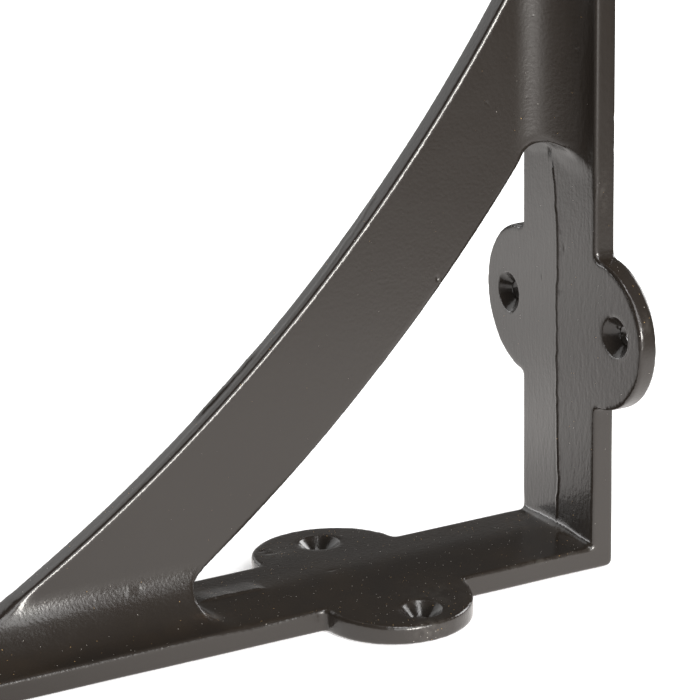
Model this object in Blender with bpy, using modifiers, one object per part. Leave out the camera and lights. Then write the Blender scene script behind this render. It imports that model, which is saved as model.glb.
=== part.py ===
"""Cast iron shelf bracket: two flat arms at a right angle, a pair of screw lugs
on each arm and a curved brace with wide coves, all cast as one piece.

Metres, +Z up. The bracket stands on the outer face of its horizontal arm, with
the origin in the middle of its footprint. The upright arm rises at +X, and its
outer face is the plane x = ARM_LENGTH / 2. Both sides of the plane y = 0 are
alike, but for the places of the screw holes in the lugs.

A place on an arm is given by its distance along the arm from the bracket's
outer corner, its distance across from mid-width, and its depth inwards from
the arm's outer face. A place in the side view is given by its distances from
the two outer faces, the upright arm's first.
"""

import math

import bmesh
import bpy
from mathutils import Matrix, Vector

# Arms
ARM_LENGTH = 0.200
STRIP_WIDTH = 0.030
EDGE_THICKNESS = 0.0052
DRAFT_SLOPE = 0.058
RIDGE_THICKNESS = EDGE_THICKNESS + DRAFT_SLOPE * STRIP_WIDTH / 2
ARM_END_RADIUS = 0.006
OUTER_CORNER_RADIUS = 0.0016
INNER_CORNER_RADIUS = 0.0014
CORNER = Vector((ARM_LENGTH / 2, 0, 0))

# Lugs, a pair on each arm
LUG_RADIUS = 0.0174
LUG_JOIN_RADIUS = 0.0014
LOWER_LUG_DISTANCE = 0.0577
UPPER_LUG_DISTANCE = 0.0566

# Countersunk screw holes: one near each arm's end, and one in each lug, drilled by
# hand, so that each has its own distance along the arm and across it
LOWER_HOLES = ((0.0566, -0.0248), (0.0564, 0.0218))
UPPER_HOLES = ((0.0580, -0.0230), (0.0564, 0.0223))
END_HOLE_DISTANCE = ARM_LENGTH - 0.016
SINK_RIM_RADIUS = 0.0049
SHANK_RADIUS = 0.0024

# Brace: a plate between two arcs, with a cove on both sides where it meets an arm
BRACE_THICKNESS = 0.0048
OUTER_ARC_CENTRE = (0.3282, 0.3356)
OUTER_ARC_RADIUS = 0.3680
WINDOW_ARC_CENTRE = (0.3224, 0.3251)
WINDOW_ARC_RADIUS = 0.3820
WINDOW_TOP_RADIUS = 0.0057
WINDOW_SIDE_RADIUS = 0.0048
DRAFT_ANGLE = math.atan(DRAFT_SLOPE)
COVE_RADIUS = (STRIP_WIDTH - BRACE_THICKNESS) / 2 / (1 - math.sin(DRAFT_ANGLE))
COVE_START_TURN = math.radians(4)
EDGE_INSET = 0.0006

# Depths at which a form ends inside an arm, or leaves it
WINDOW_FLOOR = (EDGE_THICKNESS + RIDGE_THICKNESS) / 2
BURIED_DEPTH = EDGE_THICKNESS / 2
OVERRUN = 0.010

# Fineness of the round stretches
LUG_STEPS = 40
SMALL_ARC_STEPS = 6
LONG_ARC_STEPS = 80
WINDOW_CORNER_STEPS = 14
COVE_STEPS = 24
HOLE_STEPS = 40
MERGE_DISTANCE = 0.000001
SHARP_ANGLE = math.radians(30)

IRON_COLOUR = (0.021, 0.019, 0.017, 1.0)
IRON_ROUGHNESS = 0.42


def clear_scene():
    """Remove every object that the scene opened with."""
    for found in list(bpy.data.objects):
        bpy.data.objects.remove(found, do_unlink=True)


def make_collection(name):
    """Return a new collection, linked to the scene."""
    collection = bpy.data.collections.new(name)
    bpy.context.scene.collection.children.link(collection)
    return collection


def make_iron():
    """Return the satin black finish of the casting."""
    material = bpy.data.materials.new("black_coated_iron")
    material.use_nodes = True
    shader = material.node_tree.nodes["Principled BSDF"]
    shader.inputs["Base Color"].default_value = IRON_COLOUR
    shader.inputs["Roughness"].default_value = IRON_ROUGHNESS
    shader.inputs["Metallic"].default_value = 0.0
    return material


def arc(centre, radius, start, end, steps):
    """Points along an arc from one angle to another, both ends included."""
    turns = [start + (end - start) * step / steps for step in range(steps + 1)]
    return [
        (centre[0] + radius * math.cos(turn), centre[1] + radius * math.sin(turn))
        for turn in turns
    ]


def mirrored(side):
    """A half outline followed by its mirror image across the first axis."""
    return side + [(first, -second) for first, second in reversed(side)]


def turned_about(side):
    """A half outline followed by its mirror image across the second axis."""
    return side + [(-first, second) for first, second in reversed(side)]


def placing(first, second, third, origin):
    """The matrix that takes a local frame to the given axes and origin."""
    matrix = Matrix.Identity(4)
    for column, axis in enumerate((first, second, third, origin)):
        for row in range(3):
            matrix[row][column] = axis[row]
    return matrix


def prism(name, outline, thickness, place, collection):
    """Extrude a flat outline both ways from its plane, as a closed mesh."""
    curve = bpy.data.curves.new(name, "CURVE")
    curve.dimensions = "2D"
    curve.fill_mode = "BOTH"
    curve.extrude = thickness / 2
    spline = curve.splines.new("POLY")
    spline.points.add(len(outline) - 1)
    for point, (first, second) in zip(spline.points, outline):
        point.co = (first, second, 0.0, 1.0)
    spline.use_cyclic_u = True
    guide = bpy.data.objects.new(name, curve)
    collection.objects.link(guide)
    graph = bpy.context.evaluated_depsgraph_get()
    mesh = bpy.data.meshes.new_from_object(guide.evaluated_get(graph))
    bpy.data.objects.remove(guide, do_unlink=True)
    mesh.transform(place)
    welded = bmesh.new()
    welded.from_mesh(mesh)
    bmesh.ops.remove_doubles(welded, verts=welded.verts, dist=MERGE_DISTANCE)
    bmesh.ops.recalc_face_normals(welded, faces=welded.faces)
    welded.to_mesh(mesh)
    welded.free()
    solid = bpy.data.objects.new(name, mesh)
    collection.objects.link(solid)
    return solid


def combine(target, tool, operation):
    """Add a Boolean modifier, and keep its tool out of renders."""
    modifier = target.modifiers.new(tool.name, "BOOLEAN")
    modifier.operation = operation
    modifier.solver = "EXACT"
    modifier.object = tool
    tool.hide_render = True
    tool.display_type = "WIRE"


class ArmAxes:
    """Directions along an arm, across it, and inwards from its outer face."""

    def __init__(self, upright):
        self.along = Vector((0, 0, 1)) if upright else Vector((-1, 0, 0))
        self.across = Vector((0, 1, 0))
        self.inwards = Vector((-1, 0, 0)) if upright else Vector((0, 0, 1))

    def point(self, along, across, inwards):
        """World position of a place on the arm."""
        return CORNER + self.along * along + self.across * across + self.inwards * inwards


LOWER = ArmAxes(upright=False)
UPPER = ArmAxes(upright=True)


def side_placing():
    """Placing of an outline that is drawn in the side view."""
    return placing(LOWER.along, UPPER.along, LOWER.across, CORNER)


def arm_side(lug_distance):
    """Edge of an arm on one side, past its lug and round to its end."""
    edge = STRIP_WIDTH / 2
    join_reach = LUG_RADIUS + LUG_JOIN_RADIUS
    join_offset = math.sqrt(join_reach**2 - LUG_JOIN_RADIUS**2)
    lean = math.asin(LUG_JOIN_RADIUS / join_reach)
    near_join = (lug_distance - join_offset, edge + LUG_JOIN_RADIUS)
    far_join = (lug_distance + join_offset, edge + LUG_JOIN_RADIUS)
    end_centre = (ARM_LENGTH - ARM_END_RADIUS, edge - ARM_END_RADIUS)
    quarter = math.pi / 2
    return (
        [(-OVERRUN, edge)]
        + arc(near_join, LUG_JOIN_RADIUS, -quarter, -lean, SMALL_ARC_STEPS)
        + arc((lug_distance, edge), LUG_RADIUS, math.pi - lean, lean, LUG_STEPS)[1:]
        + arc(far_join, LUG_JOIN_RADIUS, math.pi + lean, 3 * quarter, SMALL_ARC_STEPS)[1:]
        + arc(end_centre, ARM_END_RADIUS, quarter, 0, SMALL_ARC_STEPS)
    )


def build_arm(name, axes, lug_distance, tools):
    """A flat arm with its pair of lugs, which runs out past the bracket's outer faces."""
    outline = mirrored(arm_side(lug_distance))
    place = placing(axes.along, axes.across, axes.inwards, axes.point(0, 0, 0))
    arm = prism(name, outline, 2 * OVERRUN, place, tools)
    half_width = STRIP_WIDTH / 2 + LUG_RADIUS + OVERRUN
    eaves = RIDGE_THICKNESS - DRAFT_SLOPE * half_width
    roof = turned_about([(half_width, -OVERRUN / 2), (half_width, eaves)])
    roof.insert(2, (0.0, RIDGE_THICKNESS))
    middle = axes.point(ARM_LENGTH / 2, 0, 0)
    draft_place = placing(axes.across, axes.inwards, axes.along, middle)
    draft = prism(name + "_draft", roof, ARM_LENGTH + 4 * OVERRUN, draft_place, tools)
    combine(arm, draft, "INTERSECT")
    return arm


def build_inner_fillet(name, side, tools):
    """Half of the small fillet between the arms, which follows their draft."""
    radius = INNER_CORNER_RADIUS
    bury = -BURIED_DEPTH
    outline = [(bury, bury), (radius, bury)]
    outline += arc((radius, radius), radius, -math.pi / 2, -math.pi, SMALL_ARC_STEPS)
    outline += [(bury, radius)]
    length = STRIP_WIDTH / 2 - EDGE_INSET
    fall = (LOWER.along + UPPER.along) * DRAFT_SLOPE
    run = LOWER.across * side - fall
    start = CORNER + (LOWER.along + UPPER.along) * RIDGE_THICKNESS
    place = placing(LOWER.along, UPPER.along, run, start + run * length / 2)
    return prism(name, outline, length, place, tools)


def brace_outline():
    """Side view of the brace, filled in to the middle of both arms."""
    centre = OUTER_ARC_CENTRE
    reach = math.sqrt(OUTER_ARC_RADIUS**2 - (centre[1] - BURIED_DEPTH) ** 2)
    height = math.sqrt(OUTER_ARC_RADIUS**2 - (centre[0] - BURIED_DEPTH) ** 2)
    start = math.atan2(BURIED_DEPTH - centre[1], -reach)
    end = math.atan2(-height, BURIED_DEPTH - centre[0])
    return [(BURIED_DEPTH, BURIED_DEPTH)] + arc(
        centre, OUTER_ARC_RADIUS, start, end, LONG_ARC_STEPS
    )


def window_outline():
    """Side view of the window, with a rounded corner where the brace leaves each arm."""
    centre = WINDOW_ARC_CENTRE
    side_reach = WINDOW_ARC_RADIUS + WINDOW_SIDE_RADIUS
    side_depth = WINDOW_FLOOR + WINDOW_SIDE_RADIUS
    side_centre = (
        centre[0] - math.sqrt(side_reach**2 - (centre[1] - side_depth) ** 2),
        side_depth,
    )
    top_reach = WINDOW_ARC_RADIUS + WINDOW_TOP_RADIUS
    top_depth = WINDOW_FLOOR + WINDOW_TOP_RADIUS
    top_centre = (
        top_depth,
        centre[1] - math.sqrt(top_reach**2 - (centre[0] - top_depth) ** 2),
    )
    side_turn = math.atan2(centre[1] - side_centre[1], centre[0] - side_centre[0])
    top_turn = math.atan2(centre[1] - top_centre[1], centre[0] - top_centre[0])
    side_corner = arc(
        side_centre, WINDOW_SIDE_RADIUS, -math.pi / 2, side_turn, WINDOW_CORNER_STEPS
    )
    long_arc = arc(
        centre,
        WINDOW_ARC_RADIUS,
        side_turn - math.pi,
        top_turn - math.pi,
        LONG_ARC_STEPS,
    )
    top_corner = arc(top_centre, WINDOW_TOP_RADIUS, top_turn, math.pi, WINDOW_CORNER_STEPS)
    return (
        [(BURIED_DEPTH, BURIED_DEPTH), (side_centre[0], BURIED_DEPTH)]
        + side_corner
        + long_arc[1:-1]
        + top_corner
        + [(BURIED_DEPTH, top_centre[1])]
    )


def cove_outline():
    """Section of an arm's two coves, which touch the brace's faces and the arm's draft."""
    across = BRACE_THICKNESS / 2 + COVE_RADIUS
    centre = (across, EDGE_THICKNESS + COVE_RADIUS * math.cos(DRAFT_ANGLE))
    start = math.pi + COVE_START_TURN
    end = 3 * math.pi / 2 - math.asin((across + EDGE_INSET - STRIP_WIDTH / 2) / COVE_RADIUS)
    curve = arc(centre, COVE_RADIUS, start, end, COVE_STEPS)
    return turned_about([(0.0, curve[0][1])] + curve + [(curve[-1][0], BURIED_DEPTH)])[:-1]


def build_coves(name, axes, tools):
    """A bar with a cove down each side, along the whole of an arm."""
    middle = axes.point(ARM_LENGTH / 2, 0, 0)
    place = placing(axes.across, axes.inwards, axes.along, middle)
    return prism(name, cove_outline(), ARM_LENGTH - 2 * BURIED_DEPTH, place, tools)


def build_brace(tools):
    """The curved plate between the arms, with its coves and the window cut out."""
    far = ARM_LENGTH - BURIED_DEPTH
    square = [
        (BURIED_DEPTH, BURIED_DEPTH),
        (far, BURIED_DEPTH),
        (far, far),
        (BURIED_DEPTH, far),
    ]
    brace = prism("brace", square, BRACE_THICKNESS, side_placing(), tools)
    combine(brace, build_coves("lower_coves", LOWER, tools), "UNION")
    combine(brace, build_coves("upper_coves", UPPER, tools), "UNION")
    width = STRIP_WIDTH + OVERRUN
    region = prism("brace_region", brace_outline(), width, side_placing(), tools)
    combine(brace, region, "INTERSECT")
    window = prism("window", window_outline(), width + OVERRUN, side_placing(), tools)
    combine(brace, window, "DIFFERENCE")
    return brace


def build_envelope(tools):
    """A block whose faces are the bracket's two outer faces, with the rounded outer corner."""
    radius = OUTER_CORNER_RADIUS
    far = ARM_LENGTH + OVERRUN
    rounded = arc((radius, radius), radius, math.pi, 3 * math.pi / 2, SMALL_ARC_STEPS)
    outline = rounded + [(far, 0.0), (far, far), (0.0, far)]
    width = STRIP_WIDTH + 4 * LUG_RADIUS
    return prism("outer_faces", outline, width, side_placing(), tools)


def build_hole_cutter(name, axes, along, across, tools):
    """A turned cutter for a countersunk hole that opens on an arm's inner face."""
    face = RIDGE_THICKNESS - DRAFT_SLOPE * abs(across)
    sink_floor = face - (SINK_RIM_RADIUS - SHANK_RADIUS)
    profile = [
        (0.0, face + OVERRUN),
        (SINK_RIM_RADIUS + OVERRUN, face + OVERRUN),
        (SHANK_RADIUS, sink_floor),
        (SHANK_RADIUS, -OVERRUN),
        (0.0, -OVERRUN),
    ]
    mesh = bpy.data.meshes.new(name)
    edges = [(index, index + 1) for index in range(len(profile) - 1)]
    mesh.from_pydata([(radius, 0.0, depth) for radius, depth in profile], edges, [])
    cutter = bpy.data.objects.new(name, mesh)
    foot = axes.point(along, across, 0)
    sideways = axes.inwards.cross(axes.across)
    cutter.matrix_world = placing(axes.across, sideways, axes.inwards, foot)
    tools.objects.link(cutter)
    turn = cutter.modifiers.new("turn", "SCREW")
    turn.steps = HOLE_STEPS
    turn.render_steps = HOLE_STEPS
    turn.use_merge_vertices = True
    turn.merge_threshold = MERGE_DISTANCE
    return cutter


def build_holes(tools):
    """Cutters of the six screw holes."""
    cutters = []
    for name, axes, lug_holes in (("lower", LOWER, LOWER_HOLES), ("upper", UPPER, UPPER_HOLES)):
        for number, (along, across) in enumerate(lug_holes + ((END_HOLE_DISTANCE, 0.0),)):
            hole_name = f"{name}_hole_{number + 1}"
            cutters.append(build_hole_cutter(hole_name, axes, along, across, tools))
    return cutters


def build_bracket(parts, tools):
    """Join the arms, the brace and the inner fillet to the one casting."""
    bracket = build_arm("shelf_bracket", LOWER, LOWER_LUG_DISTANCE, tools)
    tools.objects.unlink(bracket)
    parts.objects.link(bracket)
    upright_arm = build_arm("upright_arm", UPPER, UPPER_LUG_DISTANCE, tools)
    combine(bracket, upright_arm, "UNION")
    combine(bracket, build_brace(tools), "UNION")
    for side, name in ((-1, "front_inner_fillet"), (1, "back_inner_fillet")):
        combine(bracket, build_inner_fillet(name, side, tools), "UNION")
    combine(bracket, build_envelope(tools), "INTERSECT")
    for cutter in build_holes(tools):
        combine(bracket, cutter, "DIFFERENCE")
    shading = bracket.modifiers.new("sharp_edges", "EDGE_SPLIT")
    shading.split_angle = SHARP_ANGLE
    bracket.data.materials.append(make_iron())
    return bracket


def main():
    """Build the bracket in its collection, and its cutters in another."""
    clear_scene()
    parts = make_collection("cast_shelf_bracket")
    tools = make_collection("cutters")
    build_bracket(parts, tools)


main()
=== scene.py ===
"""Looks of a cast iron shelf bracket in satin black: a fine cast skin over the
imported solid, its coat, and the studio and camera that show it.

Metres, +Z up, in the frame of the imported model. The upright arm is at +X, and
the bracket stands on the outer face of its lower arm.
"""

import logging
import math
from dataclasses import dataclass, field
from enum import Enum

import bmesh
import bpy
import numpy as np
from mathutils import Euler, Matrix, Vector


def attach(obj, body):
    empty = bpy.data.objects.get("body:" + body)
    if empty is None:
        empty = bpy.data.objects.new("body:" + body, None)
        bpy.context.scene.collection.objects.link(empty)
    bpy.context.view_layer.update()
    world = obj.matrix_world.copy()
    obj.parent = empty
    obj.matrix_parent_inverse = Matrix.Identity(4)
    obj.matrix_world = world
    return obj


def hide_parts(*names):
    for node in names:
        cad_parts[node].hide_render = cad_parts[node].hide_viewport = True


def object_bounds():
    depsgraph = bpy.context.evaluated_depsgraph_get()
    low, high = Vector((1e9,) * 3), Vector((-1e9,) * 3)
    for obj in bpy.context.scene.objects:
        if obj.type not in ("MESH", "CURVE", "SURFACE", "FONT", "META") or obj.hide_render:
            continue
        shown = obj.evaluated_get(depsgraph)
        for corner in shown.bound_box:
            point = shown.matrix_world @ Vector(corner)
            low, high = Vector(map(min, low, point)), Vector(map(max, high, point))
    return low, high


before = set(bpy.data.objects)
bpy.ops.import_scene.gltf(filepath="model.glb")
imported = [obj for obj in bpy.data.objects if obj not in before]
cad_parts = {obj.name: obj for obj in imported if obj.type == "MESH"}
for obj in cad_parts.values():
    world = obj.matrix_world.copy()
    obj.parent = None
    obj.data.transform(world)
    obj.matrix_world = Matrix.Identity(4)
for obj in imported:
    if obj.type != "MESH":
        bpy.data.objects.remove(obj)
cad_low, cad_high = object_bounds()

logging.basicConfig(level=logging.INFO, format="%(message)s")
log = logging.getLogger("shelf_bracket")

MILLIMETRE = 0.001
NODE = "shelf_bracket"
BODY = "root"
PHOTO_SIDE = 700
# The bracket's outer corner, where the arms' outer faces meet
CORNER = Vector((cad_high.x, 0.0, cad_low.z))
# Keeps a division by a radius away from zero
TINY = 1e-9
WHITE = (1.0, 1.0, 1.0, 1.0)

Place = tuple[float, float, float]
Colour = tuple[float, float, float, float]
Zone = tuple[np.ndarray, np.ndarray]
Value = float | Colour | bpy.types.NodeSocket


def millimetres(*values: float) -> tuple[float, ...]:
    """Return lengths given in millimetres as metres."""
    return tuple(value * MILLIMETRE for value in values)


def nearness(points: np.ndarray, place: Place, reach: Place) -> np.ndarray:
    """Return how near points are to a place, on a bell curve.

    Args:
        points: Points in the frame, one a row.
        place: The place, where the curve is at its top.
        reach: How far the place reaches along X, Y and Z.

    Returns:
        A share from 0 to 1 for each point.
    """
    away = (points - np.array(place)) / np.array(reach)
    return np.exp(-np.sum(away * away, axis=1))


class Arm(Enum):
    """The bracket's two arms."""

    LOWER = "lower"
    UPRIGHT = "upright"


@dataclass(frozen=True)
class ArmFrame:
    """Directions of one arm, from the bracket's outer corner.

    Attributes:
        along: Direction from the corner to the arm's end.
        inwards: Direction from the arm's outer face into the corner's angle.
    """

    along: Vector
    inwards: Vector

    @staticmethod
    def of(arm: Arm) -> "ArmFrame":
        """Return the directions of an arm.

        Args:
            arm: Which of the two arms.

        Returns:
            The arm's directions.
        """
        if arm is Arm.LOWER:
            return ArmFrame(Vector((-1, 0, 0)), Vector((0, 0, 1)))
        return ArmFrame(Vector((0, 0, 1)), Vector((-1, 0, 0)))

    def places(self, points: np.ndarray) -> tuple[np.ndarray, np.ndarray, np.ndarray]:
        """Give points by the arm's own directions.

        Args:
            points: Points in the frame, one a row.

        Returns:
            Distance along the arm, across it, and inwards, for each point.
        """
        local = points - np.array(CORNER)
        return local @ np.array(self.along), local[:, 1], local @ np.array(self.inwards)


class CastNoise:
    """Smooth random heights in space, the same on each run."""

    def __init__(self, seed: int, cells: int = 48) -> None:
        """Draw the lattice of heights.

        Args:
            seed: Seed of the random draw.
            cells: Lattice points on each side, after which it repeats.
        """
        self.cells = cells
        self.lattice = np.random.default_rng(seed).uniform(-1, 1, (cells,) * 3)

    def sample(self, points: np.ndarray, wavelength: Place) -> np.ndarray:
        """Read the heights at points.

        Args:
            points: Points in the frame, one a row.
            wavelength: Lattice spacing along X, Y and Z.

        Returns:
            Heights from -1 to 1, one for each point.
        """
        scaled = points / np.array(wavelength)
        base = np.floor(scaled).astype(int)
        share = scaled - base
        share = share * share * (3 - 2 * share)
        heights = np.zeros(len(points))
        for corner in np.ndindex(2, 2, 2):
            weight = np.prod(np.where(corner, share, 1 - share), axis=1)
            index = (base + corner) % self.cells
            heights += weight * self.lattice[index[:, 0], index[:, 1], index[:, 2]]
        return heights


@dataclass(frozen=True)
class Waviness:
    """Unevenness of the sand mould, all over the casting.

    Attributes:
        height: Greatest rise, in metres.
        wavelength: Spacing of the rises along X, Y and Z.
        seed: Seed of the random draw.
    """

    height: float
    wavelength: Place
    seed: int

    def zones(self) -> list[Zone]:
        """Return the boxes that need a finer mesh, of which there are none."""
        return []

    def raise_skin(self, points: np.ndarray, normals: np.ndarray) -> np.ndarray:
        """Return how far each point rises along its normal."""
        return self.height * CastNoise(self.seed).sample(points, self.wavelength)


@dataclass(frozen=True)
class PartingRidge:
    """Flash left where the mould's halves met, along an arm's inner face.

    Attributes:
        arm: The arm that it runs along.
        course: Its crest, as distances along the arm and across it.
        height: Height of its crest.
        front_width: Width of its front flank.
        back_width: Width of its back flank.
        wander: How far its crest strays from its course.
        seed: Seed of the random draw.
        drift_length: Length of the crest's slow bends.
        jitter_length: Length of the crest's small kinks.
        lump_length: Length of the rises and falls along the crest.
        lumpiness: Share of the height that rises and falls.
        hollowing: How hollow the flanks are, from 1 for straight ones.
        fade: Length over which each end runs out.
        face_heights: Lowest and highest place of the face that it stands on.
        fine_width: Most of a flank that gets a finer mesh.
    """

    arm: Arm
    course: tuple[tuple[float, float], ...]
    height: float
    front_width: float
    back_width: float
    wander: float
    seed: int
    drift_length: float = 6 * MILLIMETRE
    jitter_length: float = 1.7 * MILLIMETRE
    lump_length: float = 3 * MILLIMETRE
    lumpiness: float = 0.3
    hollowing: float = 1.4
    fade: float = 2 * MILLIMETRE
    face_heights: tuple[float, float] = (3 * MILLIMETRE, 9 * MILLIMETRE)
    fine_width: float = 3 * MILLIMETRE

    def zones(self) -> list[Zone]:
        """Return the boxes that need a finer mesh.

        Returns:
            The lowest and highest corner of each box.
        """
        axes = ArmFrame.of(self.arm)
        along = [distance for distance, _ in self.course]
        across = [distance for _, distance in self.course]
        ends = [
            CORNER + axes.along * distance + axes.inwards * height
            for distance, height in zip((min(along), max(along)), self.face_heights)
        ]
        low = np.min(ends, axis=0)
        high = np.max(ends, axis=0)
        low[1] = min(across) - min(self.front_width, self.fine_width)
        high[1] = max(across) + min(self.back_width, self.fine_width)
        return [(low, high)]

    def raise_skin(self, points: np.ndarray, normals: np.ndarray) -> np.ndarray:
        """Return how far each point rises along its normal.

        Args:
            points: Points of the skin, one a row.
            normals: Their normals.

        Returns:
            Rise of each point, in metres.
        """
        axes = ArmFrame.of(self.arm)
        along, across, _ = axes.places(points)
        noise = CastNoise(self.seed)
        line = np.zeros_like(points)
        line[:, 0] = along
        # Each reading starts a metre further on, so that the three don't follow each other.
        drift = noise.sample(line, (self.drift_length,) * 3)
        jitter = noise.sample(line + 1, (self.jitter_length,) * 3)
        strength = 1 + self.lumpiness * noise.sample(line + 2, (self.lump_length,) * 3)
        stations, offsets = np.array(sorted(self.course)).T
        centre = np.interp(along, stations, offsets) + self.wander * (drift + jitter)
        width = np.where(across < centre, self.front_width, self.back_width)
        away = np.clip(np.abs(across - centre) / width, 0, 1)
        start = np.clip((along - stations[0]) / self.fade, 0, 1)
        end = np.clip((stations[-1] - along) / self.fade, 0, 1)
        # Only skin that faces inwards rises: nothing does past 60 degrees from that.
        facing = np.clip(normals @ np.array(axes.inwards) * 2 - 1, 0, 1)
        return self.height * strength * (1 - away) ** self.hollowing * (start * end) * facing


@dataclass(frozen=True)
class Mark:
    """A pit, a dent or a lump in one place.

    Attributes:
        place: Its middle, in the frame.
        reach: How far it reaches along X, Y and Z.
        depth: How deep it goes, or how high it stands if negative.
        broad: Least reach of a mark that shows without a finer mesh.
        margin: Size of its finer box, as a multiple of its reach.
    """

    place: Place
    reach: Place
    depth: float
    broad: float = 1.2 * MILLIMETRE
    margin: float = 2.2

    def zones(self) -> list[Zone]:
        """Return the boxes that need a finer mesh.

        Returns:
            The lowest and highest corner of each box, for a mark that isn't broad.
        """
        if min(self.reach) > self.broad:
            return []
        middle = np.array(self.place)
        span = self.margin * np.array(self.reach)
        return [(middle - span, middle + span)]

    def raise_skin(self, points: np.ndarray, normals: np.ndarray) -> np.ndarray:
        """Return how far each point rises along its normal."""
        return -self.depth * nearness(points, self.place, self.reach)


Relief = Waviness | PartingRidge | Mark


@dataclass(frozen=True)
class Blend:
    """A place where the casting's forms run softly into each other.

    Attributes:
        place: Its middle, in the frame.
        reach: How far it reaches along X, Y and Z.
        passes: Smoothing passes, which tell fully in its middle.
        step: Share of the way to its neighbours' middle that a point goes in a pass.
        least: Nearness below which a point stays where it is.
    """

    place: Place
    reach: Place
    passes: int
    step: float = 0.5
    least: float = 0.02

    def soften(self, points: np.ndarray, edges: np.ndarray) -> None:
        """Smooth the points near the place.

        Args:
            points: Points of the mesh, one a row, which are changed.
            edges: The two points of each edge.
        """
        weight = nearness(points, self.place, self.reach)
        near = edges[np.any(weight[edges] > self.least, axis=1)]
        used, near = np.unique(near, return_inverse=True)
        ends = np.concatenate((near.reshape(-1, 2), near.reshape(-1, 2)[:, ::-1]))
        weight = np.where(weight[used] > self.least, weight[used], 0)[:, None]
        local = points[used]
        count = np.bincount(ends[:, 0])[:, None]
        for _ in range(self.passes):
            columns = [np.bincount(ends[:, 0], weights=local[ends[:, 1], axis]) for axis in range(3)]
            local += self.step * weight * (np.stack(columns, axis=1) / count - local)
        points[used] = local


@dataclass(frozen=True)
class Countersink:
    """A countersunk screw hole, cut cleanly after the casting.

    Attributes:
        arm: The arm that it is in.
        along: Distance of its axis from the corner.
        across: Distance of its axis across the arm.
        face: Height of the arm's inner face at the axis.
        rim_radius: Radius at the face.
        shank_radius: Radius of the bore.
        margin: How far the finer mesh reaches past the rim.
        rim_pull: How far outside the rim the skin is still drawn to it.
        rim_fade: Length over which that pull fades in.
        back_fade: Length at the outer face where the bore is left alone, and then fades in.
    """

    arm: Arm
    along: float
    across: float
    face: float
    rim_radius: float = 4.9 * MILLIMETRE
    shank_radius: float = 2.3 * MILLIMETRE
    margin: float = 0.8 * MILLIMETRE
    rim_pull: float = 0.25 * MILLIMETRE
    rim_fade: float = 0.6 * MILLIMETRE
    back_fade: float = 0.4 * MILLIMETRE

    def zones(self) -> list[Zone]:
        """Return the boxes that need a finer mesh.

        Returns:
            The lowest and highest corner of the one box, about the hole.
        """
        axes = ArmFrame.of(self.arm)
        across = Vector((0, self.across, 0))
        middle = CORNER + axes.along * self.along + across + axes.inwards * self.face / 2
        span = np.full(3, self.rim_radius + self.margin)
        return [(np.array(middle) - span, np.array(middle) + span)]

    def cut(self, points: np.ndarray) -> None:
        """Bring the points on the hole's walls to its true cone and bore.

        Args:
            points: Points of the mesh, one a row, which are changed.
        """
        axes = ArmFrame.of(self.arm)
        along, across, inwards = axes.places(points)
        radius = np.hypot(along - self.along, across - self.across) + TINY
        height = inwards - self.face + self.rim_radius - self.shank_radius
        rim = np.clip((self.rim_radius + self.rim_pull - radius) / self.rim_fade, 0, 1)
        back = np.clip((inwards - self.back_fade) / self.back_fade, 0, 1)
        # The sink's wall is at 45 degrees, so half of a point's gap is closed each way.
        gap = (radius - self.shank_radius - height) / 2
        inwards_step = np.where(height > 0, gap, 0) * rim * back
        radius_step = np.where(height > 0, -gap, self.shank_radius - radius) * rim * back
        outwards = radius_step / radius
        points += np.outer(outwards * (along - self.along), np.array(axes.along))
        points[:, 1] += outwards * (across - self.across)
        points += np.outer(inwards_step, np.array(axes.inwards))


@dataclass(frozen=True)
class Rub:
    """A place where the coat is rubbed, or is painted with a pale haze of dust and painted sheen.

    Attributes:
        place: Its middle, in the frame.
        reach: How far it reaches along X, Y and Z.
        strength: How much of it shows, from 0 to 1.
    """

    place: Place
    reach: Place
    strength: float

    def cover(self, points: np.ndarray) -> np.ndarray:
        """Return how strongly each point is covered."""
        return self.strength * nearness(points, self.place, self.reach)


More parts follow.
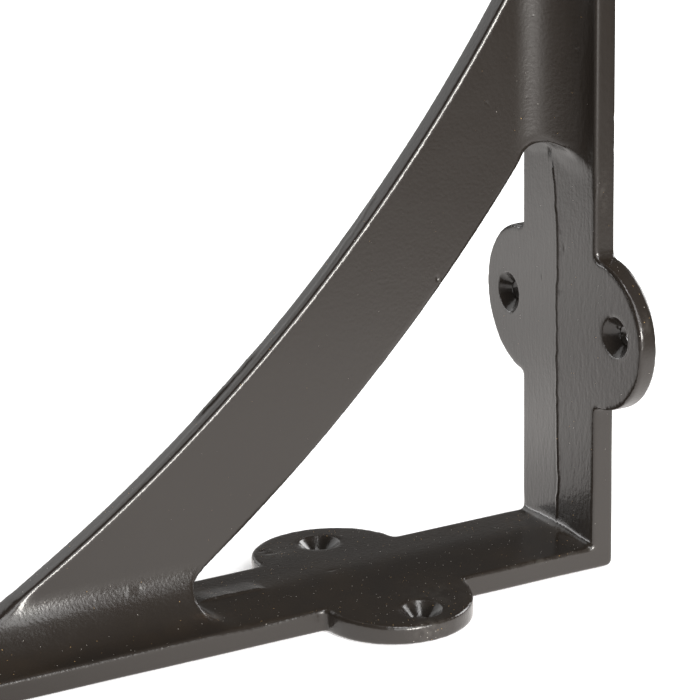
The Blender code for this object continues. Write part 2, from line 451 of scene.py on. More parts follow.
@dataclass
class Casting:
    """The whole bracket, cast in one piece.

    Attributes:
        halvings: Times that the box is halved to get the mesh's cells.
        fill: Share of the box's side that the bracket fills.
        weld_distance: Distance at which the solid's points are joined.
        rounding_passes: Smoothing passes that round the edges.
        rounding_step: Share of the way to its neighbours' middle that a point goes in a pass.
        cuts: Cuts that a finer mesh makes in each edge.
        most_triangles: Triangles that the thinned mesh may have.
        coat_thickness: Thickness of the coat over the solid.
        outer_sink: How far the outermost faces sink, which leaves room for their unevenness.
        outer_reach: How deep under the solid's box that sinking ends.
        relief: What rises from the skin, or is sunk in it.
        blends: Places where its forms run softly into each other.
        holes: Its screw holes.
        rubs: Places where the coat is rubbed.
        dust_and_sheen: Places painted with a pale haze, which is partly dust and partly a painted
            highlight.
    """

    halvings: int = 9
    fill: float = 0.99
    weld_distance: float = 0.001 * MILLIMETRE
    rounding_passes: int = 19
    rounding_step: float = 0.5
    cuts: int = 2
    most_triangles: int = 190000
    coat_thickness: float = 0.13 * MILLIMETRE
    outer_sink: float = 0.045 * MILLIMETRE
    outer_reach: float = 1 * MILLIMETRE
    relief: list[Relief] = field(default_factory=list)
    blends: list[Blend] = field(default_factory=list)
    holes: list[Countersink] = field(default_factory=list)
    rubs: list[Rub] = field(default_factory=list)
    dust_and_sheen: list[Rub] = field(default_factory=list)

    def build(self) -> bpy.types.Object:
        """Build the casting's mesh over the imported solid.

        Returns:
            The casting, which stands for its node.
        """
        skin = self.copy_solid()
        self.shape(skin, "REMESH", mode="SHARP", octree_depth=self.halvings, scale=self.fill)
        self.shape(skin, "SMOOTH", factor=self.rounding_step, iterations=self.rounding_passes)
        self.blend_and_drill(skin)
        self.raise_relief(skin)
        triangles = sum(len(face.vertices) - 2 for face in skin.data.polygons)
        self.shape(skin, "DECIMATE", ratio=min(1.0, self.most_triangles / triangles))
        skin.data.shade_smooth()
        self.mark_cover(skin, "rubbed", self.rubs)
        # The pale haze is partly dust and partly a painted highlight on edges and on the back lug
        self.mark_cover(skin, "dust_and_sheen", self.dust_and_sheen)
        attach(skin, BODY)
        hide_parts(NODE)
        return skin

    def copy_solid(self) -> bpy.types.Object:
        """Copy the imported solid's mesh to a new object, with its corners welded.

        Returns:
            The new object.
        """
        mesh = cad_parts[NODE].data.copy()
        mesh.materials.clear()
        welded = bmesh.new()
        welded.from_mesh(mesh)
        bmesh.ops.remove_doubles(welded, verts=welded.verts, dist=self.weld_distance)
        welded.to_mesh(mesh)
        welded.free()
        skin = bpy.data.objects.new("cast_bracket", mesh)
        bpy.context.scene.collection.objects.link(skin)
        return skin

    def shape(self, skin: bpy.types.Object, kind: str, **settings: float | str) -> None:
        """Run one modifier on the skin, and keep its result as the mesh.

        Args:
            skin: The object to shape.
            kind: The modifier's type.
            **settings: The modifier's settings.
        """
        modifier = skin.modifiers.new(kind.lower(), kind)
        for name, value in settings.items():
            setattr(modifier, name, value)
        graph = bpy.context.evaluated_depsgraph_get()
        shaped = bpy.data.meshes.new_from_object(skin.evaluated_get(graph))
        skin.modifiers.clear()
        old = skin.data
        skin.data = shaped
        bpy.data.meshes.remove(old)

    def blend_and_drill(self, skin: bpy.types.Object) -> None:
        """Blend the forms, cut the mesh finer where it needs it, and drill the holes.

        Args:
            skin: The object to shape.
        """
        points = self.read_points(skin.data, "co")
        edges = np.array([edge.vertices[:] for edge in skin.data.edges])
        for blend in self.blends:
            blend.soften(points, edges)
        skin.data.vertices.foreach_set("co", points.ravel())
        self.refine(skin)
        points = self.read_points(skin.data, "co")
        for hole in self.holes:
            hole.cut(points)
        skin.data.vertices.foreach_set("co", points.ravel())
        skin.data.update()

    def read_points(self, mesh: bpy.types.Mesh, name: str) -> np.ndarray:
        """Read a mesh's points or normals.

        Args:
            mesh: The mesh.
            name: What to read of each point.

        Returns:
            The values, one point a row.
        """
        values = np.empty(len(mesh.vertices) * 3)
        mesh.vertices.foreach_get(name, values)
        return values.reshape(-1, 3)

    def refine(self, skin: bpy.types.Object) -> None:
        """Cut the mesh finer where the relief is fine.

        Args:
            skin: The object to shape.
        """
        zones = [zone for form in [*self.relief, *self.holes] for zone in form.zones()]
        mesh = bmesh.new()
        mesh.from_mesh(skin.data)
        places = np.array([vertex.co for vertex in mesh.verts])
        inside = np.zeros(len(places), bool)
        for low, high in zones:
            inside |= np.all((places > low) & (places < high), axis=1)
        mesh.verts.ensure_lookup_table()
        chosen = [mesh.verts[index] for index in np.flatnonzero(inside)]
        edges = list({edge for vertex in chosen for edge in vertex.link_edges})
        bmesh.ops.subdivide_edges(mesh, edges=edges, cuts=self.cuts, use_grid_fill=True)
        mesh.to_mesh(skin.data)
        mesh.free()

    def raise_relief(self, skin: bpy.types.Object) -> None:
        """Move the skin along its normals, and keep it inside the solid's box.

        Args:
            skin: The object to shape.
        """
        points = self.read_points(skin.data, "co")
        normals = self.read_points(skin.data, "normal")
        waves = sum(form.raise_skin(points, normals) for form in self.relief)
        outermost = self.at_outer_face(points, normals)
        rise = waves + self.coat_thickness * (1 - outermost) - self.outer_sink * outermost
        moved = np.clip(points + normals * rise[:, None], np.array(cad_low), np.array(cad_high))
        skin.data.vertices.foreach_set("co", moved.ravel())
        skin.data.update()

    def at_outer_face(self, points: np.ndarray, normals: np.ndarray) -> np.ndarray:
        """Return how fully each point lies on a face of the solid's box, and faces out of it.

        Args:
            points: Points of the skin, one a row.
            normals: Their normals.

        Returns:
            A share from 0 to 1 for each point.
        """
        over_low = (points - np.array(cad_low)) / self.outer_reach
        under_high = (np.array(cad_high) - points) / self.outer_reach
        low = np.clip(1 - over_low, 0, 1) * np.clip(-normals, 0, 1)
        high = np.clip(1 - under_high, 0, 1) * np.clip(normals, 0, 1)
        return np.max(np.concatenate((low, high), axis=1), axis=1)

    def mark_cover(self, skin: bpy.types.Object, name: str, covers: list[Rub]) -> None:
        """Keep on the mesh how strongly each point is covered.

        Args:
            skin: The object to mark.
            name: Name of the mesh's attribute.
            covers: The places that are covered.
        """
        points = self.read_points(skin.data, "co")
        cover = sum((rub.cover(points) for rub in covers), np.zeros(len(points)))
        attribute = skin.data.attributes.new(name, "FLOAT", "POINT")
        attribute.data.foreach_set("value", np.clip(cover, 0, 1))

    def dress(self, skin: bpy.types.Object, coat: bpy.types.Material) -> None:
        """Give the casting its coat."""
        skin.data.materials.append(coat)


class NodeBench:
    """A node tree and the short calls that fill it."""

    def __init__(self, tree: bpy.types.NodeTree) -> None:
        """Take a tree to work on."""
        self.tree = tree

    def add(self, kind: str, **inputs: Value) -> bpy.types.Node:
        """Add a node, and set or link its inputs.

        Args:
            kind: The node's type.
            **inputs: Values or output sockets, by input name.

        Returns:
            The node.
        """
        node = self.tree.nodes.new(kind)
        for name, value in inputs.items():
            self.feed(node.inputs[name], value)
        return node

    def place(self, group: bpy.types.NodeTree, **inputs: Value) -> bpy.types.Node:
        """Place a node group, and set or link its inputs.

        Args:
            group: The group.
            **inputs: Values or output sockets, by input name.

        Returns:
            The group's node.
        """
        node = self.tree.nodes.new("ShaderNodeGroup")
        node.node_tree = group
        for name, value in inputs.items():
            self.feed(node.inputs[name], value)
        return node

    def feed(self, socket: bpy.types.NodeSocket, value: Value) -> None:
        """Set an input, or link an output to it.

        Args:
            socket: The input.
            value: A value, or the output to link.
        """
        if isinstance(value, bpy.types.NodeSocket):
            self.tree.links.new(value, socket)
        else:
            socket.default_value = value

    def math(self, operation: str, *values: Value) -> bpy.types.NodeSocket:
        """Add a Math node.

        Args:
            operation: What it works out.
            *values: Its values, numbers or output sockets.

        Returns:
            Its output.
        """
        node = self.tree.nodes.new("ShaderNodeMath")
        node.operation = operation
        for socket, value in zip(node.inputs, values):
            self.feed(socket, value)
        return node.outputs[0]

    def ramp(self, value: Value, start: float, end: float) -> bpy.types.NodeSocket:
        """Add a smooth step from 0 at the start to 1 at the end.

        Args:
            value: What is stepped.
            start: Value that gives 0.
            end: Value that gives 1.

        Returns:
            The step's output.
        """
        node = self.tree.nodes.new("ShaderNodeMapRange")
        node.interpolation_type = "SMOOTHSTEP"
        self.feed(node.inputs["Value"], value)
        node.inputs["From Min"].default_value = start
        node.inputs["From Max"].default_value = end
        return node.outputs["Result"]

    def noise(self, vector: bpy.types.NodeSocket, scale: Value, detail: float) -> bpy.types.NodeSocket:
        """Add a noise texture.

        Args:
            vector: Where it is read.
            scale: Its scale.
            detail: Its detail.

        Returns:
            Its values.
        """
        node = self.add("ShaderNodeTexNoise", Vector=vector, Scale=scale, Detail=detail)
        return node.outputs["Fac"]

    def mix(self, factor: Value, first: Value, second: Value) -> bpy.types.NodeSocket:
        """Add a mix of two colours.

        Args:
            factor: Share of the second colour.
            first: The first colour.
            second: The second colour.

        Returns:
            The mixed colour.
        """
        node = self.tree.nodes.new("ShaderNodeMix")
        node.data_type = "RGBA"
        colours = [socket for socket in node.inputs if socket.type == "RGBA"]
        self.feed(node.inputs["Factor"], factor)
        self.feed(colours[0], first)
        self.feed(colours[1], second)
        return next(socket for socket in node.outputs if socket.type == "RGBA")


class Effects:
    """Shader node groups that the finishes share, each built once.

    Attributes:
        peel: Fine unevenness of brushed and sprayed paint.
        specks: Loose specks of dust.
    """

    BRUSH_SCALE = 1100.0
    BRUSH_DETAIL = 3.0
    BRUSH_STRETCH = (1.0, 1.0, 0.28)
    GRAIN_DETAIL = 2.0
    LEAST_SPECK = 0.35

    def __init__(self) -> None:
        """Build the groups."""
        self.peel = self.build_peel()
        self.specks = self.build_specks()

    def start(
        self, name: str, values: dict[str, float], outputs: tuple[str, ...]
    ) -> tuple[NodeBench, bpy.types.Node, bpy.types.Node]:
        """Start a node group with a Vector input.

        Args:
            name: Name of the group.
            values: Its number inputs, with what they are by default.
            outputs: Names of its number outputs.

        Returns:
            The bench of the group, its input node and its output node.
        """
        tree = bpy.data.node_groups.new(name, "ShaderNodeTree")
        tree.interface.new_socket("Vector", in_out="INPUT", socket_type="NodeSocketVector")
        for label, value in values.items():
            socket = tree.interface.new_socket(label, in_out="INPUT", socket_type="NodeSocketFloat")
            socket.default_value = value
        for label in outputs:
            tree.interface.new_socket(label, in_out="OUTPUT", socket_type="NodeSocketFloat")
        return NodeBench(tree), tree.nodes.new("NodeGroupInput"), tree.nodes.new("NodeGroupOutput")

    def build_peel(self) -> bpy.types.NodeTree:
        """Build the fine unevenness of brushed and sprayed paint.

        Returns:
            The group, which gives a height.
        """
        values = {"Grain": 1300.0, "Streaks": 0.5}
        bench, entry, leave = self.start("paint_peel", values, ("Height",))
        grain = bench.noise(entry.outputs["Vector"], entry.outputs["Grain"], self.GRAIN_DETAIL)
        stretch = bench.tree.nodes.new("ShaderNodeVectorMath")
        stretch.operation = "MULTIPLY"
        bench.feed(stretch.inputs[0], entry.outputs["Vector"])
        stretch.inputs[1].default_value = self.BRUSH_STRETCH
        streaks = bench.noise(stretch.outputs[0], self.BRUSH_SCALE, self.BRUSH_DETAIL)
        streaks = bench.math("MULTIPLY", streaks, entry.outputs["Streaks"])
        bench.feed(leave.inputs["Height"], bench.math("ADD", grain, streaks))
        return bench.tree

    def build_specks(self) -> bpy.types.NodeTree:
        """Build loose specks, one at most in each cell of space.

        Returns:
            The group, which gives a mask of the specks and a random value for each.
        """
        values = {"Scale": 300.0, "Share": 0.2, "Size": 0.04}
        bench, entry, leave = self.start("settled_specks", values, ("Mask", "Chance"))
        cells = bench.add(
            "ShaderNodeTexVoronoi", Vector=entry.outputs["Vector"], Scale=entry.outputs["Scale"]
        )
        chance = bench.add("ShaderNodeSeparateColor", Color=cells.outputs["Color"])
        chosen = bench.math("LESS_THAN", chance.outputs[0], entry.outputs["Share"])
        relative = bench.math("ADD", chance.outputs[1], self.LEAST_SPECK)
        radius = bench.math("MULTIPLY", relative, entry.outputs["Size"])
        near = bench.math("LESS_THAN", cells.outputs["Distance"], radius)
        bench.feed(leave.inputs["Mask"], bench.math("MULTIPLY", chosen, near))
        bench.feed(leave.inputs["Chance"], chance.outputs[2])
        return bench.tree


@dataclass(frozen=True)
class Patches:
    """Patches with soft edges, which break up a cover.

    Attributes:
        scale: Scale of their noise.
        detail: Detail of their noise.
        start: Value of the noise where a patch starts.
        full: Value of the noise where it is full.
    """

    scale: float
    detail: float
    start: float
    full: float

    def mask(self, bench: NodeBench, place: bpy.types.NodeSocket) -> bpy.types.NodeSocket:
        """Return the mask of the patches."""
        return bench.ramp(bench.noise(place, self.scale, self.detail), self.start, self.full)


@dataclass(frozen=True)
class Dust:
    """Specks of dust on a coat.

    Attributes:
        pale: Colour of the pale specks.
        gold: Colour of the gold specks.
        gold_from: Random value above which a speck is gold.
        scale: Cells in a metre, each of which can hold a speck.
        size: Size of a speck, as a share of a cell.
        share: Share of the cells that hold one, on any side.
        share_upwards: Further share of them on what faces up.
        share_dust_and_sheen: Further share of them in the pale haze of dust and painted sheen.
        roughness: Roughness that a speck adds.
        height: Height of a speck, as a multiple of the coat's peel.
    """

    pale: Colour = (0.36, 0.34, 0.31, 1.0)
    gold: Colour = (0.36, 0.22, 0.08, 1.0)
    gold_from: float = 0.55
    scale: float = 1900.0
    size: float = 0.16
    share: float = 0.02
    share_upwards: float = 0.12
    share_dust_and_sheen: float = 0.25
    roughness: float = 0.4
    height: float = 2.0


@dataclass(frozen=True)
class BlackCoat:
    """Satin black coat over a cast skin.

    Attributes:
        colour: Colour of the coat.
        film_colour: Colour of the dusty film on what faces up.
        haze_and_sheen_colour: Colour of the pale haze, which is partly dust and partly a painted
            highlight.
        rubbed_colour: Colour where it is rubbed thin.
        film_share: How much of the film shows.
        haze_and_sheen_share: How much of the haze of dust and painted sheen shows.
        roughness: Roughness of the coat.
        unevenness: How far its roughness strays.
        stray_grain: Scale and detail of the noise by which it strays.
        rubbed_roughness: Roughness that rubbing adds.
        peel: Height of its fine unevenness, in metres.
        upward_normals: Upward part of the normal where dust starts to lie, and lies fully.
        brushed_normals: Part of the normal along X where brush streaks start, and are full.
        streaks: Height of the streaks on any side, and what the brushed sides add.
        film: Patches of the film.
        breaks: Patches of the haze of dust and painted sheen, and of the rubbed places.
        dust: Its specks of dust.
    """

    colour: Colour = (0.0155, 0.0125, 0.0103, 1.0)
    film_colour: Colour = (0.044, 0.028, 0.014, 1.0)
    # The pale haze paints dust, and a highlight on edges and on the back lug
    haze_and_sheen_colour: Colour = (0.075, 0.069, 0.062, 1.0)
    rubbed_colour: Colour = (0.085, 0.056, 0.036, 1.0)
    film_share: float = 0.16
    haze_and_sheen_share: float = 0.65
    roughness: float = 0.215
    unevenness: float = 0.04
    stray_grain: tuple[float, float] = (180.0, 4.0)
    rubbed_roughness: float = 0.2
    peel: float = 0.042 * MILLIMETRE
    upward_normals: tuple[float, float] = (0.6, 0.98)
    brushed_normals: tuple[float, float] = (-0.5, -0.9)
    streaks: tuple[float, float] = (0.15, 1.5)
    film: Patches = Patches(90.0, 5.0, 0.35, 0.75)
    breaks: Patches = Patches(520.0, 5.0, 0.35, 0.7)
    dust: Dust = Dust()

    def make(self, effects: Effects) -> bpy.types.Material:
        """Make the coat's material.

        Args:
            effects: The node groups that it uses.

        Returns:
            The material.
        """
        material = bpy.data.materials.new("satin_black_coat")
        material.use_nodes = True
        bench = NodeBench(material.node_tree)
        shader = material.node_tree.nodes["Principled BSDF"]
        place = bench.add("ShaderNodeTexCoord").outputs["Object"]
        normal = bench.add("ShaderNodeNewGeometry").outputs["Normal"]
        facing = bench.add("ShaderNodeSeparateXYZ", Vector=normal)
        upwards = bench.ramp(facing.outputs["Z"], *self.upward_normals)
        rubbed = self.cover(bench, "rubbed", place)
        # Pale haze of dust and painted highlight
        haze_and_sheen = bench.math("MULTIPLY", self.cover(bench, "dust_and_sheen", place), self.haze_and_sheen_share)
        specks, chance = self.scatter_dust(bench, effects, place, upwards)
        film = bench.math("MULTIPLY", upwards, self.film.mask(bench, place))

        colour = bench.mix(bench.math("MULTIPLY", film, self.film_share), self.colour, self.film_colour)
        colour = bench.mix(rubbed, colour, self.rubbed_colour)
        colour = bench.mix(haze_and_sheen, colour, self.haze_and_sheen_colour)
        golden = bench.math("GREATER_THAN", chance, self.dust.gold_from)
        dust_colour = bench.mix(golden, self.dust.pale, self.dust.gold)
        bench.feed(shader.inputs["Base Color"], bench.mix(specks, colour, dust_colour))

        stray = bench.math("SUBTRACT", bench.noise(place, *self.stray_grain), 0.5)
        roughness = bench.math("MULTIPLY_ADD", stray, 2 * self.unevenness, self.roughness)
        roughness = bench.math("MULTIPLY_ADD", rubbed, self.rubbed_roughness, roughness)
        roughness = bench.math("MULTIPLY_ADD", specks, self.dust.roughness, roughness)
        bench.feed(shader.inputs["Roughness"], roughness)

        brushed = bench.ramp(facing.outputs["X"], *self.brushed_normals)
        least_streaks, more_streaks = self.streaks
        streaks = bench.math("MULTIPLY_ADD", brushed, more_streaks, least_streaks)
        peel = bench.place(effects.peel, Vector=place, Streaks=streaks)
        raised = bench.math("MULTIPLY", specks, self.dust.height)
        height = bench.math("ADD", peel.outputs["Height"], raised)
        bump = bench.add("ShaderNodeBump", Distance=self.peel, Height=height)
        bench.feed(shader.inputs["Normal"], bump.outputs["Normal"])
        return material

    def read_mark(self, bench: NodeBench, name: str) -> bpy.types.NodeSocket:
        """Read a cover kept on the mesh.

        Args:
            bench: Bench of the material.
            name: Name of the mesh's attribute.

        Returns:
            The cover, from 0 to 1.
        """
        kept = bench.tree.nodes.new("ShaderNodeAttribute")
        kept.attribute_name = name
        return kept.outputs["Fac"]

    def cover(self, bench: NodeBench, name: str, place: bpy.types.NodeSocket) -> bpy.types.NodeSocket:
        """Return the mask of a cover kept on the mesh, broken up into patches."""
        return bench.math("MULTIPLY", self.read_mark(bench, name), self.breaks.mask(bench, place))

    def scatter_dust(
        self,
        bench: NodeBench,
        effects: Effects,
        place: bpy.types.NodeSocket,
        upwards: bpy.types.NodeSocket,
    ) -> tuple[bpy.types.NodeSocket, bpy.types.NodeSocket]:
        """Scatter specks of dust, mostly on what faces up.

        Args:
            bench: Bench of the material.
            effects: The node groups.
            place: Where the specks are read.
            upwards: How far the surface faces up.

        Returns:
            Mask of the specks, and a random value for each.
        """
        share = bench.math("MULTIPLY_ADD", upwards, self.dust.share_upwards, self.dust.share)
        # More specks in the haze of dust and painted sheen
        share = bench.math("MULTIPLY_ADD", self.read_mark(bench, "dust_and_sheen"), self.dust.share_dust_and_sheen, share)
        specks = bench.place(
            effects.specks, Vector=place, Scale=self.dust.scale, Share=share, Size=self.dust.size
        )
        return specks.outputs["Mask"], specks.outputs["Chance"]


@dataclass(frozen=True)
class PhotoCamera:
    """The camera that took the photograph.

    Attributes:
        place: Where it stands.
        turn: Its rotation about X, Y and Z, in degrees.
        focal_pixels: Focal length, in pixels of the photograph.
        sensor_width: Width of its sensor, in millimetres.
        seen_range: Nearest and farthest distance that it sees.
    """

    place: Place = (-0.384613, -0.752114, 0.351523)
    turn: Place = (71.2541, 0.7600, -29.7235)
    focal_pixels: float = 4131.2
    sensor_width: float = 36.0
    seen_range: tuple[float, float] = (0.01, 20.0)

    def build(self) -> bpy.types.Object:
        """Build the camera, and make it the scene's own.

        Returns:
            The camera.
        """
        data = bpy.data.cameras.new("photo_camera")
        data.sensor_width = self.sensor_width
        data.lens = self.focal_pixels / PHOTO_SIDE * self.sensor_width
        data.clip_start, data.clip_end = self.seen_range
        camera = bpy.data.objects.new("photo_camera", data)
        camera.location = self.place
        camera.rotation_euler = Euler([math.radians(angle) for angle in self.turn])
        bpy.context.scene.collection.objects.link(camera)
        bpy.context.scene.camera = camera
        return camera


@dataclass(frozen=True)
class Panel:
    """A soft light panel on a wide circle about the bracket.

    Attributes:
        name: Name of the light.
        bearing: Direction of its middle, in degrees from the front (-Y) towards +X.
        rise: Height of its middle, in degrees above the floor.
        spread: Its width and height as seen from the bracket, in degrees.
        glow: Brightness of its face.
        tint: Colour of its light.
    """

    name: str
    bearing: float
    rise: float
    spread: tuple[float, float]
    glow: float
    tint: tuple[float, float, float] = (1.0, 1.0, 1.0)

    def build(self, middle: Vector, distance: float) -> bpy.types.Object:
        """Build the light.

        Args:
            middle: What it faces.
            distance: How far it stands from that.

        Returns:
            The light.
        """
        bearing = math.radians(self.bearing)
        rise = math.radians(self.rise)
        outwards = Vector(
            (math.sin(bearing) * math.cos(rise), -math.cos(bearing) * math.cos(rise), math.sin(rise))
        )
        data = bpy.data.lights.new(self.name, "AREA")
        data.shape = "RECTANGLE"
        data.size = 2 * distance * math.tan(math.radians(self.spread[0] / 2))
        data.size_y = 2 * distance * math.tan(math.radians(self.spread[1] / 2))
        data.energy = math.pi * data.size * data.size_y * self.glow
        data.color = self.tint
        panel = bpy.data.objects.new(self.name, data)
        panel.location = middle + distance * outwards
        panel.rotation_euler = outwards.to_track_quat("Z", "Y").to_euler()
        bpy.context.scene.collection.objects.link(panel)
        return panel


@dataclass(frozen=True)
class Pool:
    """A soft pool of light on the floor.

    Attributes:
        place: Its middle.
        reach: Its radius.
        glow: Its brightness at the middle.
    """

    place: tuple[float, float]
    reach: float
    glow: float


@dataclass
class Studio:
    """The floor, the lights and the surroundings.

    Attributes:
        middle: What the lights face.
        panel_distance: How far the light panels stand from that.
        floor_reach: Half the side of the floor.
        floor_colour: Colour of the floor.
        floor_glow: Brightness of the floor outside the pools of light.
        seen_glow: Glow that the floor has for the camera alone.
        pool_tint: Colour of the pools of light.
        ambient: Brightness of the dim surroundings.
        ambient_tint: Colour of the dim surroundings.
        noise_threshold: Noise at which a pixel counts as finished.
        panels: The light panels.
        pools: The pools of light on the floor.
    """

    middle: Vector = field(default_factory=lambda: Vector((0.06, 0.0, 0.0)))
    panel_distance: float = 3.0
    floor_reach: float = 6.0
    floor_colour: Colour = (0.9, 0.9, 0.9, 1.0)
    floor_glow: float = 0.05
    seen_glow: float = 0.36
    pool_tint: Colour = (1.0, 0.965, 0.94, 1.0)
    ambient: float = 0.10
    ambient_tint: Colour = (1.0, 0.95, 0.90, 1.0)
    noise_threshold: float = 0.02
    panels: tuple[Panel, ...] = (
        Panel("front_panel", 2, 6, (21, 12), 41.0, (1.0, 0.97, 0.92)),
        Panel("front_top_panel", 0, 43, (22, 30), 5.0),
        Panel("top_panel", -5, 72, (13, 22), 11.0),
        Panel("front_left_panel", -22, 20, (22, 40), 3.9),
        Panel("front_right_panel", 16, 17, (9, 28), 6.4),
        Panel("right_panel", 97, 25, (34, 30), 8.5),
        Panel("back_left_low_panel", 228, 3, (50, 9), 8.0),
        Panel("back_left_panel", 195, 28, (50, 36), 1.3),
        Panel("back_right_panel", 153, 7, (40, 14), 0.22),
    )
    pools: tuple[Pool, ...] = (
        Pool((-0.10, 0.34), 0.25, 1.15),
        Pool((0.15, -0.14), 0.24, 0.83),
        Pool((-0.10, -0.16), 0.25, 0.38),
        Pool((-0.04, 0.18), 0.09, 1.10),
        Pool((0.16, -0.08), 0.09, 1.05),
        Pool((-0.02, -0.17), 0.09, 1.10),
        Pool((0.03, -0.03), 0.05, 0.50),
        Pool((0.09, -0.02), 0.04, 0.45),
        Pool((-0.02, -0.025), 0.04, 0.35),
        Pool((0.052, 0.080), 0.05, 1.10),
        Pool((0.03, -0.50), 0.15, 3.0),
        Pool((0.03, -1.00), 0.30, 3.2),
    )

    def build(self) -> None:
        """Build the floor and the lights."""
        self.build_floor()
        self.build_surroundings()
        for panel in self.panels:
            panel.build(self.middle, self.panel_distance)
        scene = bpy.context.scene
        scene.view_settings.view_transform = "Standard"
        scene.cycles.use_denoising = True
        scene.cycles.use_adaptive_sampling = True
        scene.cycles.adaptive_threshold = self.noise_threshold

    def build_floor(self) -> None:
        """Build the pale floor, whose pools of light only the bracket sees."""
        reach = self.floor_reach
        mesh = bpy.data.meshes.new("floor")
        corners = [(-reach, -reach, 0), (reach, -reach, 0), (reach, reach, 0), (-reach, reach, 0)]
        mesh.from_pydata(corners, [], [(0, 1, 2, 3)])
        floor = bpy.data.objects.new("floor", mesh)
        bpy.context.scene.collection.objects.link(floor)
        material = bpy.data.materials.new("pale_floor")
        material.use_nodes = True
        bench = NodeBench(material.node_tree)
        shader = material.node_tree.nodes["Principled BSDF"]
        shader.inputs["Base Color"].default_value = self.floor_colour
        shader.inputs["Roughness"].default_value = 1.0
        shader.inputs["Specular IOR Level"].default_value = 0.0
        shader.inputs["Emission Color"].default_value = WHITE
        shader.inputs["Emission Strength"].default_value = self.seen_glow
        glow = bench.add("ShaderNodeEmission", Color=self.pool_tint, Strength=self.pool_light(bench))
        seen = bench.add("ShaderNodeLightPath").outputs["Is Camera Ray"]
        chosen = bench.tree.nodes.new("ShaderNodeMixShader")
        bench.feed(chosen.inputs[0], seen)
        bench.feed(chosen.inputs[1], glow.outputs[0])
        bench.feed(chosen.inputs[2], shader.outputs[0])
        bench.feed(bench.tree.nodes["Material Output"].inputs["Surface"], chosen.outputs[0])
        mesh.materials.append(material)

    def pool_light(self, bench: NodeBench) -> bpy.types.NodeSocket:
        """Add up the pools of light.

        Args:
            bench: Bench of the floor's material.

        Returns:
            The floor's brightness.
        """
        place = bench.add("ShaderNodeNewGeometry").outputs["Position"]
        total = self.floor_glow
        for pool in self.pools:
            away = bench.tree.nodes.new("ShaderNodeVectorMath")
            away.operation = "DISTANCE"
            bench.feed(away.inputs[0], place)
            away.inputs[1].default_value = (*pool.place, 0.0)
            share = bench.math("DIVIDE", away.outputs["Value"], pool.reach)
            squared = bench.math("MULTIPLY", share, share)
            fall = bench.math("EXPONENT", bench.math("MULTIPLY", squared, -1.0))
            total = bench.math("MULTIPLY_ADD", fall, pool.glow, total)
        return total

    def build_surroundings(self) -> None:
        """Build surroundings that are pale to the camera and dim to the bracket."""
        world = bpy.data.worlds.new("studio")
        world.use_nodes = True
        bench = NodeBench(world.node_tree)
        background = world.node_tree.nodes["Background"]
        seen = bench.add("ShaderNodeLightPath").outputs["Is Camera Ray"]
        bench.feed(background.inputs["Color"], bench.mix(seen, self.ambient_tint, WHITE))
        bench.feed(background.inputs["Strength"], bench.math("MAXIMUM", seen, self.ambient))
        bpy.context.scene.world = world


def mould_waves() -> list[Waviness]:
    """Return the slow and the fine waviness of the sand mould."""
    sizes = ((0.035, (14, 14, 14), 3), (0.006, (3.5, 3.5, 3.5), 5))
    return [Waviness(height * MILLIMETRE, millimetres(*wave), seed) for height, wave, seed in sizes]


def upright_ridge() -> PartingRidge:
    """Describe the parting ridge on the upright arm.

    Returns:
        The ridge.
    """
    course = ((7, -1.2), (20, -1.4), (47, -0.5), (73, -0.9), (86, 0.0), (93.5, 1.3))
    return PartingRidge(
        arm=Arm.UPRIGHT,
        course=tuple(millimetres(*station) for station in course),
        height=0.27 * MILLIMETRE,
        front_width=0.62 * MILLIMETRE,
        back_width=0.75 * MILLIMETRE,
        wander=0.21 * MILLIMETRE,
        seed=11,
    )


def lower_ridge() -> PartingRidge:
    """Describe the parting ridge on the lower arm, beside the window's corner.

    Returns:
        The ridge.
    """
    course = ((81.5, 1.0), (88, 0.8), (94, 0.9), (98.5, 1.4))
    return PartingRidge(
        arm=Arm.LOWER,
        course=tuple(millimetres(*station) for station in course),
        height=0.46 * MILLIMETRE,
        front_width=0.75 * MILLIMETRE,
        back_width=7.0 * MILLIMETRE,
        wander=0.25 * MILLIMETRE,
        seed=12,
    )


def soft_places() -> list[Blend]:
    """Describe the places where the casting's forms run softly into each other.

    Returns:
        The crest of the lower arm first, then the other places.
    """
    crest = tuple(((along, 0.0, 6.0), (9, 7, 1.5), 260) for along in (80, 64, 48, 32))
    sizes = (
        *crest,
        # The end of the upright's cove, and the brace beside it
        ((94.0, -7.5, 92.5), (3.0, 4.0, 4.5), 160),
        ((88.0, -1.5, 99.5), (6.0, 2.5, 2.5), 110),
        # The window's end above the lower arm, and its top beside the upright
        ((5.0, -1.5, 9.0), (4.0, 3.0, 4.0), 60),
        ((94.0, -4.0, 95.0), (2.5, 2.5, 2.5), 90),
        # The end of the lower arm's cove, the window's corner, and the brace's lower foot
        ((8.0, -8.5, 5.8), (7.0, 4.5, 2.5), 160),
        ((94.2, 0.0, 6.0), (2.5, 12.0, 2.5), 30),
        ((-46.0, -2.6, 15.5), (6.0, 2.2, 4.0), 30),
    )
    return [Blend(millimetres(*place), millimetres(*reach), passes) for place, reach, passes in sizes]


def screw_holes() -> list[Countersink]:
    """Describe the bracket's six countersunk screw holes.

    Returns:
        The upright arm's holes, then the lower arm's.
    """
    sizes = (
        (Arm.UPRIGHT, 58.0, -23.0, 4.74),
        (Arm.UPRIGHT, 56.4, 22.3, 4.78),
        (Arm.UPRIGHT, 184.0, 0.0, 6.07),
        (Arm.LOWER, 56.6, -24.8, 4.63),
        (Arm.LOWER, 56.4, 21.8, 4.81),
        (Arm.LOWER, 184.0, 0.0, 6.07),
    )
    return [Countersink(arm, *millimetres(along, across, face)) for arm, along, across, face in sizes]


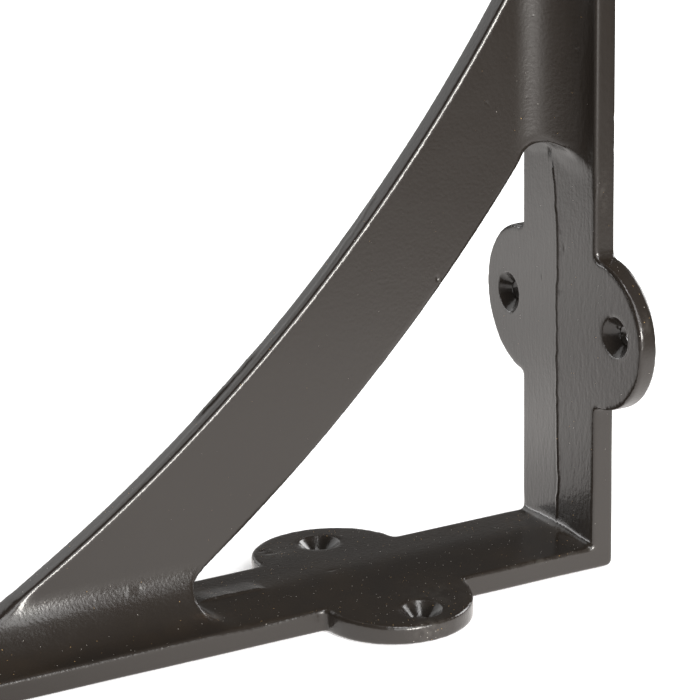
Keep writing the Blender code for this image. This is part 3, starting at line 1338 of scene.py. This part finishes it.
def cast_marks() -> list[Mark]:
    """Describe the pits, dents and lumps that the casting shows.

    Returns:
        The marks.
    """
    sizes = (
        # A nick beside the window, on the brace's front face
        ((61.4, -2.4, 72.1), (0.45, 0.6, 0.55), 0.16),
        ((62.2, -2.4, 71.6), (0.4, 0.6, 0.5), -0.06),
        # Dents in the arms' inner faces
        ((30.6, 21.3, 4.8), (1.0, 0.7, 0.8), 0.10),
        ((29.8, 23.7, 4.7), (0.7, 0.5, 0.8), 0.08),
        ((36.4, 2.7, 5.9), (0.9, 0.5, 0.8), 0.10),
        ((94.3, 6.1, 64.6), (0.8, 0.35, 0.9), 0.10),
        ((94.1, -3.5, 73.9), (0.8, 0.4, 0.9), 0.10),
        # A lump over a pit, in the upright's cove
        ((93.4, -9.8, 122.1), (0.6, 0.4, 0.35), -0.10),
        ((93.4, -9.8, 121.5), (0.6, 0.4, 0.35), 0.14),
        # A pit and small lumps high on the brace
        ((74.3, -2.4, 110.5), (0.35, 0.6, 0.35), 0.06),
        ((84.5, -2.8, 110.2), (0.3, 0.5, 0.25), -0.03),
        ((85.9, -3.2, 128.8), (0.3, 0.5, 0.25), -0.03),
        # A lump and a dent low on the brace, and the broad hollow at its foot
        ((-17.3, -3.2, 14.2), (1.0, 0.8, 1.2), -0.03),
        ((-14.9, -3.2, 14.2), (1.2, 0.8, 1.0), 0.045),
        ((-54.0, -4.5, 14.0), (13.0, 7.0, 8.0), 0.62),
        # The notch at the window's top
        ((94.1, 2.4, 95.9), (1.0, 0.8, 1.5), 0.38),
        # Burrs in the upright's front screw hole
        ((98.2, -20.7, 57.6), (0.5, 0.4, 0.45), -0.16),
        ((97.5, -20.9, 59.4), (0.4, 0.4, 0.4), -0.14),
        ((97.0, -21.0, 56.0), (0.4, 0.4, 0.4), -0.10),
        # Nicks in the upright's outer edge
        ((100.0, -15.0, 106.1), (0.5, 1.0, 0.8), 0.12),
        ((100.0, -15.0, 98.8), (0.5, 1.0, 0.8), 0.08),
        # A lump on the brace's outer edge
        ((-44.4, 1.5, 17.2), (1.2, 3.0, 0.8), -0.15),
    )
    return [
        Mark(millimetres(*place), millimetres(*reach), depth * MILLIMETRE)
        for place, reach, depth in sizes
    ]


def corner_rubs() -> list[Rub]:
    """Describe the places where the coat is rubbed thin.

    Returns:
        The places, in the window's corner and at the coves' lower end.
    """
    sizes = (
        ((90.2, 9.2, 5.5), (5.0, 3.0, 1.5), 0.30),
        ((84.0, 3.0, 5.8), (6.0, 3.5, 1.5), 0.16),
        ((7.0, 6.5, 6.0), (3.0, 2.0, 1.5), 0.35),
        ((1.0, -8.5, 7.0), (4.0, 2.0, 1.5), 0.40),
    )
    return [Rub(millimetres(*place), millimetres(*reach), strength) for place, reach, strength in sizes]


def dust_and_sheen_places() -> list[Rub]:
    """Describe the places painted with a pale haze, partly dust and partly painted highlight.

    Returns:
        The places, mostly on edges and on the screw lugs.
    """
    sizes = (
        ((41.0, -32.2, 3.0), (3.5, 1.5, 2.5), 0.8),
        # Along the lower arm's front top edge: a painted highlight, with dust flecks
        ((84.0, -14.8, 5.1), (10.0, 0.7, 0.6), 0.6),
        ((96.9, -15.0, 89.5), (0.8, 0.6, 3.5), 0.7),
        ((50.0, -20.0, 5.0), (6.0, 6.0, 1.5), 0.3),
        # The lower arm's back lug: a painted soft highlight, with dust
        ((31.0, 22.0, 4.8), (5.0, 5.0, 1.5), 1.0),
        ((94.3, -9.0, 14.0), (1.5, 6.0, 8.0), 0.10),
        ((97.6, -31.2, 63.0), (1.2, 1.5, 2.0), 0.6),
    )
    return [Rub(millimetres(*place), millimetres(*reach), strength) for place, reach, strength in sizes]


def main() -> None:
    """Build the bracket, its studio and the camera."""
    casting = Casting(
        relief=[*mould_waves(), upright_ridge(), lower_ridge(), *cast_marks()],
        blends=soft_places(),
        holes=screw_holes(),
        rubs=corner_rubs(),
        dust_and_sheen=dust_and_sheen_places(),
    )
    skin = casting.build()
    casting.dress(skin, BlackCoat().make(Effects()))
    log.info("%s: %d faces", skin.name, len(skin.data.polygons))
    studio = Studio()
    studio.build()
    log.info("studio: %d panels, %d pools of light", len(studio.panels), len(studio.pools))
    camera = PhotoCamera().build()
    log.info("%s: focal length %.0f mm", camera.name, camera.data.lens)


if __name__ == "__main__":
    main()
